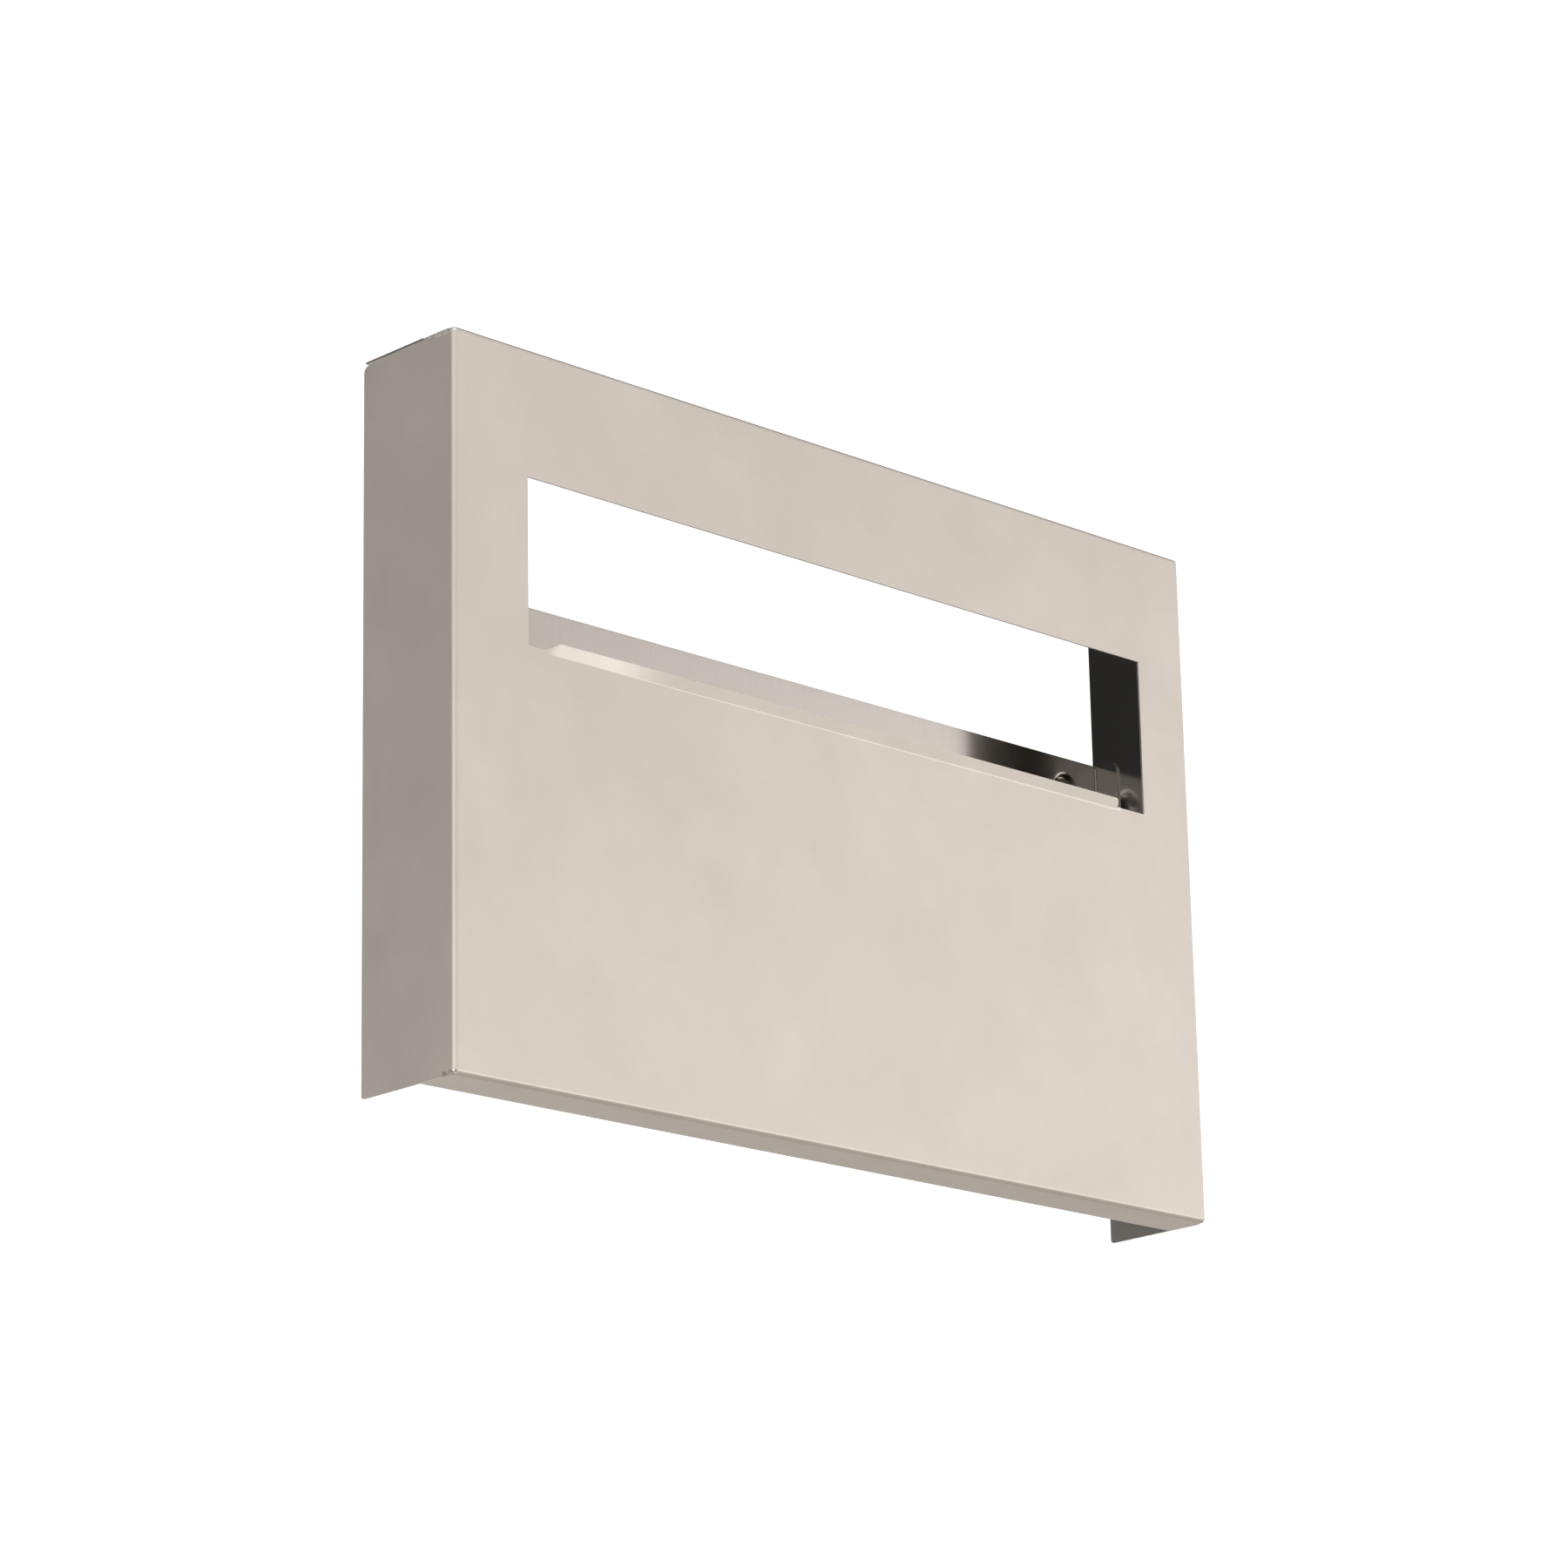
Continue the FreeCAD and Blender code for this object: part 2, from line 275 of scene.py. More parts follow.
def calculate(tree, operation, first, second):
    """One step of arithmetic; each side is a number or another node's output."""
    node = tree.nodes.new("ShaderNodeMath")
    node.operation = operation
    for socket, side in zip(node.inputs, (first, second)):
        if isinstance(side, (int, float)):
            socket.default_value = side
        else:
            tree.links.new(side, socket)
    return node.outputs["Value"]


def blend_values(tree, amount, first, second):
    """Mix two numbers by an amount from 0 to 1."""
    node = tree.nodes.new("ShaderNodeMix")
    node.data_type = "FLOAT"
    tree.links.new(amount, node.inputs["Factor"])
    tree.links.new(first, node.inputs["A"])
    tree.links.new(second, node.inputs["B"])
    return node.outputs["Result"]


def tint_by(tree, shader, value, dark, light):
    """Colour the metal between two tints."""
    node = tree.nodes.new("ShaderNodeMix")
    node.data_type = "RGBA"
    tree.links.new(value, node.inputs["Factor"])
    node.inputs["A"].default_value = (*dark, 1)
    node.inputs["B"].default_value = (*light, 1)
    tree.links.new(node.outputs["Result"], shader.inputs["Base Color"])


def bump(tree, shader, height, distance):
    """Raise the surface by height times distance."""
    node = tree.nodes.new("ShaderNodeBump")
    node.inputs["Distance"].default_value = distance
    tree.links.new(height, node.inputs["Height"])
    tree.links.new(node.outputs["Normal"], shader.inputs["Normal"])


def facing(tree, axis, start, full):
    """How much a surface faces along an axis: 0 up to start, and 1 from full on."""
    parts = tree.nodes.new("ShaderNodeSeparateXYZ")
    tree.links.new(tree.nodes.new("ShaderNodeTexCoord").outputs["Normal"], parts.inputs["Vector"])
    amount = calculate(tree, "ABSOLUTE", parts.outputs[axis], 0.0)
    return remap(tree, amount, start, full, 0.0, 1.0)


def grain(tree, across, along):
    """Scratches along the sheet's grain: up the walls, and front to back on the flat panels."""
    position = tree.nodes.new("ShaderNodeTexCoord").outputs["Object"]
    upright = noise(tree, stretch(tree, position, (across, across, along)), 1.0, 3)
    level = noise(tree, stretch(tree, position, (across, along, across)), 1.0, 3)
    return position, blend_values(tree, facing(tree, "Z", 0.6, 0.8), upright, level)


def brush(tree, shader, strength):
    """Spread reflections sideways, as upright scratches do."""
    sideways = tree.nodes.new("ShaderNodeCombineXYZ")
    sideways.inputs["X"].default_value = 1.0
    sideways.inputs["Y"].default_value = 0.1
    tree.links.new(sideways.outputs["Vector"], shader.inputs["Tangent"])
    shader.inputs["Anisotropic"].default_value = strength


print("Helpers ready for", ["noise", "grain", "tint", "roughness", "bump"])

# %% [markdown]
# The outside finish. A scratch is about a tenth of a millimetre wide and some millimetres long, so the
# noise is read at 5200 steps per metre across the grain, and at only 90 along it. Clouds a few
# centimetres wide shift the tint by a few per cent. A second, wider cloud adds the broad smudges that
# hands and cloths leave, and it shifts the roughness too.

# %% The ground satin finish
SATIN_TINT = (0.7, 0.63, 0.565)
SATIN_DARK = (0.665, 0.598, 0.535)
SATIN_LIGHT = (0.735, 0.665, 0.597)
SATIN_ACROSS, SATIN_ALONG = 5200.0, 90.0
SATIN_SMEAR = 0.75


def ground_satin():
    """The outside of the shell."""
    material, tree, shader = new_material("ground_satin_steel", 1.0, 0.46, SATIN_TINT)
    position, scratches = grain(tree, SATIN_ACROSS, SATIN_ALONG)
    clouds = noise(tree, position, 26.0, 4, 0.6)
    smudges = noise(tree, stretch(tree, position, (1.0, 1.0, 0.7)), 9.0, 3, 0.55)
    shade = calculate(tree, "ADD", calculate(tree, "MULTIPLY", clouds, 0.45),
                      calculate(tree, "MULTIPLY", smudges, 0.4))
    shade = calculate(tree, "ADD", shade, calculate(tree, "MULTIPLY", scratches, 0.15))
    tint_by(tree, shader, remap(tree, shade, 0.34, 0.66, 0.0, 1.0), SATIN_DARK, SATIN_LIGHT)
    rough = calculate(tree, "ADD", vary(tree, scratches, 0.44, 0.48),
                      vary(tree, smudges, -0.015, 0.015))
    tree.links.new(rough, shader.inputs["Roughness"])
    brush(tree, shader, SATIN_SMEAR)
    bump(tree, shader, scratches, 0.0015 * MM)
    return material


satin = ground_satin()
print("Made", satin.name)

# %% [markdown]
# The inside finish is the bare skin from the mill, smoother than the ground outside. Its tint holds
# painted
# shade and painted light: the inner side walls keep that smooth skin and are tinted dark as painted
# shade, and the inside of the front panel is dull and tinted lighter as painted light. The walls' lower
# edges are dull and lighter too. The back plate and the screws have a mill skin too, with faint rolling
# lines, and the parts of them that face sideways stay smoother, and are tinted darker as painted shade.

# %% The mill finishes and their painted shade
MILL_ACROSS, MILL_ALONG = 900.0, 30.0
MILL_RELIEF = 0.001 * MM
HANDLING_SCALE = 40.0
MILL_TINT = (0.5, 0.47, 0.43)
# The dark inside tint is painted shade on the inner side walls; the light one is painted light on the
# inside of the front panel, and it also lightens the walls towards their lower edges.
WALL_PAINTED_SHADE = (0.26, 0.25, 0.24)
PANEL_PAINTED_LIGHT = (0.56, 0.52, 0.48)
# The sideways tint is painted shade: it darkens the parts of the plate and the screws that face left or
# right.
SIDEWAYS_PAINTED_SHADE = (0.3, 0.29, 0.27)
LIGHTER_UP_TO = -100 * MM
LIGHTER_ENDS = -86 * MM


def facing_sideways(tree):
    """1 on surfaces that face left or right, 0 on the others."""
    return facing(tree, "X", 0.4, 0.8)


def mill_skin_painted_shade(name, tint, roughness):
    """The smooth skin of rolled sheet, with faint rolling lines, and painted shade on the parts that
    face sideways.
    """
    material, tree, shader = new_material(name, 1.0, roughness, tint)
    position, lines = grain(tree, MILL_ACROSS, MILL_ALONG)
    sideways = facing_sideways(tree)
    shade = blend_values(tree, sideways, vary(tree, lines, 0.94, 1.0), vary(tree, lines, 0.0, 0.04))
    # Painted shade: surfaces that face sideways take the dark tint, the others the metal's own tint.
    tint_by(tree, shader, shade, SIDEWAYS_PAINTED_SHADE, tint)
    handling = noise(tree, position, HANDLING_SCALE, 3)
    rough = vary(tree, handling, roughness * 0.9, roughness * 1.1)
    tree.links.new(calculate(tree, "MULTIPLY", rough, remap(tree, sideways, 0.0, 1.0, 1.0, 0.6)),
                   shader.inputs["Roughness"])
    bump(tree, shader, lines, MILL_RELIEF)
    return material


def inside_mill_painted_shade():
    """The inside of the shell: smooth side walls with painted shade, a dull panel with painted light,
    and a dull, lighter lower edge.
    """
    material, tree, shader = new_material("mill_steel_painted_shade", 1.0, 0.2, MILL_TINT)
    position, lines = grain(tree, MILL_ACROSS, MILL_ALONG)
    place = tree.nodes.new("ShaderNodeSeparateXYZ")
    tree.links.new(position, place.inputs["Vector"])
    on_panel = remap(tree, facing_sideways(tree), 0.0, 1.0, 1.0, 0.0)
    near_foot = remap(tree, place.outputs["Z"], LIGHTER_UP_TO, LIGHTER_ENDS, 1.0, 0.0)
    panel_or_foot_lighter = calculate(tree, "MAXIMUM", on_panel, near_foot)
    # Painted shade and light: the side walls take the dark tint, the inside of the panel and the lower
    # edges take the light one.
    tint_by(tree, shader, panel_or_foot_lighter, WALL_PAINTED_SHADE, PANEL_PAINTED_LIGHT)
    cloudy = calculate(tree, "MULTIPLY", noise(tree, position, HANDLING_SCALE, 3), 0.03)
    rough = calculate(tree, "ADD", remap(tree, panel_or_foot_lighter, 0.0, 1.0, 0.12, 0.4), cloudy)
    tree.links.new(rough, shader.inputs["Roughness"])
    bump(tree, shader, lines, MILL_RELIEF)
    return material


mill = inside_mill_painted_shade()
print("Made", mill.name)

# %% [markdown]
# The cut edge is brighter than the inside, and rough, because shears tear the last part of the sheet.
# A fine noise in all directions stands for the torn and deburred metal.

# %% The cut edge
EDGE_TINT = (0.74, 0.68, 0.61)


def cut_edge():
    """The sheared and deburred rim of the sheet."""
    material, tree, shader = new_material("cut_steel_edge", 1.0, 0.38, EDGE_TINT)
    position = tree.nodes.new("ShaderNodeTexCoord").outputs["Object"]
    tears = noise(tree, position, 2600.0, 3, 0.7)
    tree.links.new(vary(tree, tears, 0.3, 0.46), shader.inputs["Roughness"])
    bump(tree, shader, tears, 0.01 * MM)
    return material


edge = cut_edge()
print("Made", edge.name)

# %% [markdown]
# ## The pull lip
# The lower edge of the window is pressed outwards into a low lip, so that fingers and paper slide
# over a smooth edge. The press makes a crease just below the window, and above it the metal leans
# out. The lip rises out of the window's edge in an S-shaped curve at its left end, where it leans by 11
# degrees. Over the next six centimetres it eases out to about 24 degrees, and it stops in a rounded
# corner at its right end.
#
# A point of the panel is found from how far it lies above the crease along the sheet. Within the
# fold that length follows an arc, and beyond it a straight line.

# %% The shape of the lip
LIP_ANGLE = math.radians(23.9)
EASY_ANGLE = math.radians(11)
EASY_LENGTH = 60 * MM
TIGHT_RADIUS = 0.35 * MM
SOFT_RADIUS = 1.7 * MM
CREASE_DROP = 1.5 * MM
LIP_RISE = 3.5 * MM
S_LEAD = 4.6 * MM
S_CURVE = 8.3 * MM
END_RADIUS = 2.4 * MM
END_FADE = 3.0 * MM
crease = window_bottom - CREASE_DROP
s_start = lip_left - S_LEAD
s_end = s_start + S_CURVE
end_start = lip_right - END_RADIUS


def lean(x):
    """How far the sheet is folded out at x, in radians."""
    rise = EASY_ANGLE * blend_smoothly((x - s_start) / S_CURVE)
    rise += (LIP_ANGLE - EASY_ANGLE) * blend_smoothly((x - s_end) / EASY_LENGTH)
    return rise * (1 - blend_smoothly((x - lip_right) / END_FADE))


def fold_radius(x):
    """The crease is tight on the left, and grows softer towards the right end."""
    along = blend_smoothly((x - lip_left) / (lip_right - lip_left))
    return TIGHT_RADIUS + (SOFT_RADIUS - TIGHT_RADIUS) * along


def folded_point(x, length):
    """The place of a point that lies a given length above the crease."""
    radius = fold_radius(x)
    angle = lean(x)
    turn = min(max(length / radius, 0.0), angle)
    beyond = length - radius * turn
    out = radius * (1 - math.cos(turn)) + beyond * math.sin(turn)
    up = radius * math.sin(turn) + beyond * math.cos(turn)
    return (x, front - out, crease + up)


def lip_edge(x):
    """The lip's outline: the x and the height of its upper edge, for a column that stands at x."""
    if x <= end_start:
        return x, LIP_RISE * blend_smoothly((x - s_start) / S_CURVE)
    turn = math.radians(90) * (x - end_start) / END_RADIUS
    return end_start + END_RADIUS * math.sin(turn), LIP_RISE - END_RADIUS * (1 - math.cos(turn))


crest = folded_point(0, CREASE_DROP + LIP_RISE)
print("The lip leans out by", round((front - crest[1]) / MM, 2), "mm")
print("It rises by", round((crest[2] - window_bottom) / MM, 2), "mm above the window's edge")

# %% [markdown]
# ## The folded shell
# The shell is one flat blank, folded along four lines. We lay it out as a grid. The columns of the
# grid stand close together where the lip starts and stops, and far apart where the sheet is flat.
# The rows do the same around the crease. The window is simply the cells that we leave out.

# %% Columns and rows of the front panel
x_first, x_last = left + FOLD, right - FOLD
z_first, z_last = bottom + FOLD, top - FOLD
s_columns = spread(s_start, s_end, 14)
middle_columns = spread(s_end, s_end + EASY_LENGTH, 24)[1:]
middle_columns += spread(s_end + EASY_LENGTH, end_start, 30)[1:]
lip_columns = s_columns + middle_columns + spread(end_start, lip_right, 8)[1:]
columns = spread(x_first, window_left, 3) + spread(window_left, s_start, 2)[1:] + lip_columns[1:]
columns += spread(lip_right, lip_right + END_FADE, 4)[1:]
columns += spread(lip_right + END_FADE, window_right, 2)[1:] + spread(window_right, x_last, 3)[1:]
low_rows = spread(z_first, crease, 8) + spread(crease, window_bottom, 5)[1:]
high_rows = spread(window_top, z_last, 4)
rows = low_rows + high_rows
print(len(columns), "columns and", len(rows), "rows")

# %% [markdown]
# Now the skin itself, starting with the front panel around the window. The lip is a patch of its own
# with a few rows: the first lies on the window's edge, the last on the lip's curved outline, and the
# others are spread evenly between them.

# %% The front panel
def panel_point(x, z):
    """A point of the front panel, leaning out above the crease."""
    if z > window_bottom:
        return (x, front, z)
    return folded_point(x, z - crease)


def panel_patch(skin, some_columns, some_rows):
    """A part of the front panel, at these columns and rows."""
    add_patch(skin, [[panel_point(x, z) for x in some_columns] for z in some_rows])


shell_skin = empty_skin()
left_of_window = [x for x in columns if x <= window_left + CLOSE]
right_of_window = [x for x in columns if x >= window_right - CLOSE]
panel_patch(shell_skin, columns, low_rows)
panel_patch(shell_skin, columns, high_rows)
for beside in (left_of_window, right_of_window):
    panel_patch(shell_skin, beside, [window_bottom, window_top])
print("Front panel:", len(shell_skin["faces"]), "faces")

# %% The lip
LIP_ROWS = 4


def lip_point(x, share):
    """A point of the lip; share runs from 0 at the window's edge to 1 at the lip's upper edge."""
    edge_x, height = lip_edge(x)
    return folded_point(x + (edge_x - x) * share, CREASE_DROP + height * share)


add_patch(shell_skin, [[lip_point(x, step / LIP_ROWS) for x in lip_columns]
                       for step in range(LIP_ROWS + 1)])
print("With the lip:", len(shell_skin["faces"]), "faces")

# %% [markdown]
# ## The corners and the side walls
# The corners need care. At the top, the side wall passes under the edge of the top panel. Near the
# front the two are welded and ground, and towards the wall the seam opens a little. The rear corners
# of the side walls are rounded, so that they don't cut a hand. The ground corner is a piece of weld
# metal of its own, so here the sheets stop where the weld begins. At the bottom the folds meet
# without a weld: the side runs smoothly into the flange.
#
# All these outlines depend only on the distance from the front, so each one is a function of y.

# %% Outlines of the corners
WELD_LENGTH = 15.5 * MM
WELD_SWELL = 0.6 * MM
WELD_THIN = 0.12 * MM
WELD_OVER = 0.45 * MM
WELD_NARROWS = 3 * MM
RAGGED_START = 2 * MM
SEAM = 0.03 * MM
SEAM_OPEN = 0.95 * MM
SEAM_OPEN_LENGTH = 17 * MM
TOP_CORNER = 2.4 * MM
LOW_CORNER = 1.5 * MM
weld_end = front + FOLD + WELD_LENGTH


def behind_fold(y, length):
    """A smooth ramp from 0, where the front fold ends, to 1 at a length further back."""
    return blend_smoothly((y - front - FOLD) / length)


def weld_height(y):
    """How far the ground weld reaches down from the cabinet's top edge."""
    along = min(max((y - front - FOLD) / WELD_LENGTH, 0), 1)
    height = FOLD * (1 - along ** 3) + WELD_SWELL * math.sin(math.pi * along)
    return max(height, WELD_THIN)


def weld_width(y):
    """How far the ground weld reaches in over the top panel."""
    return WELD_OVER + (FOLD - WELD_OVER) * (1 - behind_fold(y, WELD_NARROWS))


def low_radius(y):
    """The rounding between a side wall and the flange: it fades out behind the fold."""
    return FOLD * (1 - behind_fold(y, WELD_LENGTH / 4 - 0.001 * MM))


def corner_drop(distance, radius):
    """How far a rounded corner falls away, at a distance from the rear edge."""
    if distance >= radius:
        return 0.0
    return radius - math.sqrt(radius ** 2 - (radius - distance) ** 2)


def wall_top(y):
    """The upper edge of a side wall: a little ragged where it meets the weld, then a seam."""
    if y <= weld_end:
        ragged = 0.16 + 0.08 * math.sin(y / (0.9 * MM)) + 0.05 * math.sin(y / (0.37 * MM))
        return top - weld_height(y) - ragged * MM * behind_fold(y, RAGGED_START)
    opening = max(0.0, (y - (wall - SEAM_OPEN_LENGTH)) / SEAM_OPEN_LENGTH)
    return top - SHEET - SEAM - (SEAM_OPEN - SEAM) * opening - corner_drop(wall - y, TOP_CORNER)


def wall_bottom(y):
    """The lower edge of a side wall."""
    return bottom + low_radius(y) + corner_drop(wall - y, LOW_CORNER)


print("The weld ends", round((weld_end - front) / MM, 1), "mm behind the front")

# %% [markdown]
# A fold is a quarter of a cylinder. The left and the right walls are mirror images, so one function
# makes both. The columns of a wall stand close together along the weld and at the rounded corner.

# %% The side walls and their folds
FOLD_STEPS = 9
WELD_STEPS = 12
BEHIND_WELD = 0.02 * MM
LOW_MARGIN = 0.3 * MM
HIGH_MARGIN = 0.2 * MM


def quarter_turn(step):
    """The angle after some of the equal steps of a quarter turn."""
    return math.radians(90) * step / FOLD_STEPS


def fold_arc(step):
    """How far a fold has turned, as (towards the next panel, away from this one)."""
    return FOLD * math.sin(quarter_turn(step)), FOLD * (1 - math.cos(quarter_turn(step)))


def corner_places(edge, away, radius):
    """Places on a rounded corner, from a radius away to its edge; away is 1 or -1."""
    return [edge + away * radius * (1 - math.sin(math.radians(a))) for a in range(0, 91, 10)]


def outer_side(mirror):
    """The x of a side wall's outside: mirror is 1 for the right and -1 for the left."""
    return right if mirror > 0 else left


weld_places = spread(front + FOLD, weld_end, WELD_STEPS)
side_places = weld_places + spread(weld_end + BEHIND_WELD, wall - TOP_CORNER, 6)
side_places += corner_places(wall, -1, TOP_CORNER)[1:]


def side_wall(skin, mirror):
    """One side wall and its fold to the front panel."""
    edge_x = outer_side(mirror)
    bend = []
    for step in range(FOLD_STEPS + 1):
        outward, backward = fold_arc(step)
        x = edge_x - mirror * (FOLD - outward)
        bend.append([(x, front + backward, z) for z in rows])
    add_patch(skin, bend)
    walls = []
    for y in side_places:
        low, high = wall_bottom(y), wall_top(y)
        first, last = max(rows[0], low + LOW_MARGIN), min(rows[-1], high - HIGH_MARGIN)
        inner = [first] + rows[1:-1] + [last]
        if y <= front + FOLD:
            inner = list(rows)
        walls.append([(edge_x, y, z) for z in [low] + inner + [high]])
    add_patch(skin, walls)


for mirror in (-1, 1):
    side_wall(shell_skin, mirror)
print("With the side walls:", len(shell_skin["faces"]), "faces")

# %% [markdown]
# The top panel runs back almost to the wall, and its side edges lie flush with the side walls. The
# bottom flange is short: behind it the cabinet is open, so that a new stack of paper can be pushed
# up from below.

# %% Top panel and bottom flange
TOP_SETBACK = 1.1 * MM
FLANGE_DEPTH = 19.5 * MM
FLANGE_GAP = 0.9 * MM


def end_fold(skin, level, upward):
    """The fold from the front panel to the top (upward is 1) or to the bottom (upward is -1)."""
    bend = []
    for step in range(FOLD_STEPS + 1):
        outward, backward = fold_arc(step)
        z = level - upward * (FOLD - outward)
        bend.append([(x, front + backward, z) for x in columns])
    add_patch(skin, bend)


def flat_row(y, z, reach):
    """A line across the top panel or the flange that starts and stops at a distance from the sides."""
    row = list(columns)
    row[0], row[-1] = left + reach, right - reach
    row[1] = max(row[1], row[0] + 1 * MM)
    return [(x, y, z) for x in row]


end_fold(shell_skin, top, 1)
end_fold(shell_skin, bottom, -1)
top_rows = [flat_row(y, top, weld_width(y)) for y in weld_places]
top_rows += [flat_row(y, top, 0.0) for y in spread(weld_end + BEHIND_WELD, wall - TOP_SETBACK, 8)]
add_patch(shell_skin, top_rows)
low_places = weld_places[:4]
flange_places = spread(low_places[-1], front + FLANGE_DEPTH, 5)
add_patch(shell_skin, [flat_row(y, bottom, low_radius(y)) for y in low_places])
add_patch(shell_skin, [flat_row(y, bottom, FLANGE_GAP) for y in flange_places])
print("With the top and the flange:", len(shell_skin["faces"]), "faces")

# %% [markdown]
# The two lower front corners are pressed round. The blank has a relief slot there, so that the folds
# don't tear each other, and it stays visible as a small dark notch. Each corner is an eighth of a
# ball with that notch pushed in, and a rounding that fades into the side wall.
#
# The welded corners at the top have the same two parts, so the helpers take the direction, 1 at the
# top and -1 at the bottom, and a function for each size that changes on the way.

# %% Corner helpers
def corner_ball(skin, mirror, upward, level, dent):
    """An eighth of a ball in a front corner. dent says how deep it is pushed in at each place."""
    middle = Vector((outer_side(mirror) - mirror * FOLD, front + FOLD, level - upward * FOLD))
    ball = []
    for rise in range(FOLD_STEPS + 1):
        high = quarter_turn(rise)
        ring = []
        for step in range(FOLD_STEPS + 1):
            turn = quarter_turn(step)
            out = Vector((mirror * math.sin(turn) * math.cos(high), -math.cos(turn) * math.cos(high),
                          upward * math.sin(high)))
            ring.append(tuple(middle + out * (FOLD - dent(step, rise))))
        ball.append(ring)
    add_patch(skin, ball)


def corner_strip(skin, mirror, upward, level, places, width, height):
    """The rounding behind a ball, along the side wall. width and height change with y."""
    strip = []
    for y in places:
        arc = []
        for step in range(FOLD_STEPS + 1):
            turn = quarter_turn(step)
            arc.append((outer_side(mirror) - mirror * width(y) * (1 - math.cos(turn)), y,
                        level - upward * height(y) * (1 - math.sin(turn))))
        strip.append(arc)
    add_patch(skin, strip)


print("A corner ball has", FOLD_STEPS, "by", FOLD_STEPS, "faces")

# %% The lower front corners
NOTCH_MIDDLE = 0.42
NOTCH_HALF_WIDTH = 0.1
NOTCH_STEPS = 5
NOTCH_DEPTH = 1.6 * MM
SHELL_EDGE = 0.22 * MM


def notch_depth(step, drop):
    """How deep the notch is at a place on the ball."""
    across = abs(step / FOLD_STEPS - NOTCH_MIDDLE)
    return NOTCH_DEPTH if across < NOTCH_HALF_WIDTH and drop < NOTCH_STEPS else 0.0


for mirror in (-1, 1):
    corner_ball(shell_skin, mirror, -1, bottom, notch_depth)
    corner_strip(shell_skin, mirror, -1, bottom, low_places, low_radius, low_radius)
shell = weld_patches("folded_shell", shell_skin, (0, front - 1, 0))
thicken(shell, [satin, mill, edge], SHELL_EDGE)
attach(shell, "root")
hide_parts("front_shell")
print("The shell has", len(shell.data.polygons), "faces before its thickness is grown")

# %% [markdown]
# ## The ground corner welds
# Three folds meet at each upper front corner. A welder fills the corner and runs a short bead along
# the seam, then grinds it with a coarse wheel, which leaves a dull facet that narrows towards the
# wall. The weld is a skin of its own: an eighth of a ball at the corner, and a strip behind it that
# reaches further down the side than over the top.

# %% The weld finish
WELD_TINT = (0.7, 0.67, 0.63)
WELD_DARK = (0.52, 0.5, 0.48)
WELD_LIGHT = (0.82, 0.78, 0.73)


def weld_metal():
    """Weld metal, ground by hand: coarse marks in several directions and a cooler tint."""
    material, tree, shader = new_material("ground_weld_metal", 1.0, 0.65, WELD_TINT)
    position = tree.nodes.new("ShaderNodeTexCoord").outputs["Object"]
    marks = noise(tree, stretch(tree, position, (2200.0, 700.0, 1500.0)), 1.0, 4, 0.65)
    heat = noise(tree, position, 320.0, 2)
    tint_by(tree, shader, vary(tree, heat, 0.0, 1.0), WELD_DARK, WELD_LIGHT)
    tree.links.new(vary(tree, marks, 0.5, 0.75), shader.inputs["Roughness"])
    bump(tree, shader, marks, 0.02 * MM)
    return material


weld_finish = weld_metal()
print("Made", weld_finish.name)

# %% The corner welds
WELD_DEPTH = 0.6 * MM


def no_dent(step, rise):
    """A welded corner is a whole ball."""
    return 0.0


welds = []
for mirror, side in ((-1, "left"), (1, "right")):
    weld_skin = empty_skin()
    corner_ball(weld_skin, mirror, 1, top, no_dent)
    corner_strip(weld_skin, mirror, 1, top, weld_places, weld_width, weld_height)
    weld = weld_patches("corner_weld_" + side, weld_skin, (mirror, front, top + 1))
    weld.data.materials.append(weld_finish)
    depth = weld.modifiers.new("weld_depth", "SOLIDIFY")
    depth.thickness = WELD_DEPTH
    depth.offset = -1
    shade_smooth(weld)
    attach(weld, "root")
    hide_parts("corner_welds")
    welds.append(weld)
print("Made", [weld.name for weld in welds])

# %% [markdown]
# ## The back plate
# The back plate closes the lower part of the back. Its two side flanges are spot-welded to the side
# walls. Near each corner a punch has pressed a shallow round dimple towards the wall, with a screw
# hole in its floor. The head of the screw sits in the dimple, so paper can't catch on it.
#
# A dimple is round, but the plate is laid out in squares. Around each hole we leave out a square of
# the grid and fill it with rings that change from a square to a circle.

# %% Measure the plate and the screws
HEAD_RADIUS = 4.0 * MM
DIMPLE_DEPTH = 1.2 * MM
plate_left, _, plate_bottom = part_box("back_plate")[0]
plate_right, _, plate_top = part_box("back_plate")[1]
plate_flange_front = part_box("back_plate")[0].y
plate_rear = wall - DIMPLE_DEPTH
screw_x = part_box("wall_screws")[1].x - HEAD_RADIUS
screw_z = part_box("wall_screws")[1].z - HEAD_RADIUS
print("Screws at", round(screw_x / MM, 1), "and", round(screw_z / MM, 1), "mm from the centre")

# %% Rings of a dimple
HOLE_RADIUS = 2.5 * MM
FLOOR_RADIUS = 4.6 * MM
RIM_RADIUS = 7.4 * MM
FIRST_RING = 8.4 * MM
SQUARE = 10.0 * MM
SIDE_CELLS = 8


def dimple_level(radius):
    """The plate's rear surface: on the web outside the rim, at the wall on the dimple's floor."""
    pressed = 1 - blend_smoothly((radius - FLOOR_RADIUS) / (RIM_RADIUS - FLOOR_RADIUS))
    return plate_rear + DIMPLE_DEPTH * pressed


def square_ring(x, z):
    """Points around the square, starting at its lower left corner."""
    offsets = spread(-SQUARE, SQUARE, SIDE_CELLS)
    ring = [(x + o, z - SQUARE) for o in offsets[:-1]] + [(x + SQUARE, z + o) for o in offsets[:-1]]
    ring += [(x + o, z + SQUARE) for o in reversed(offsets[1:])]
    ring += [(x - SQUARE, z + o) for o in reversed(offsets[1:])]
    return ring


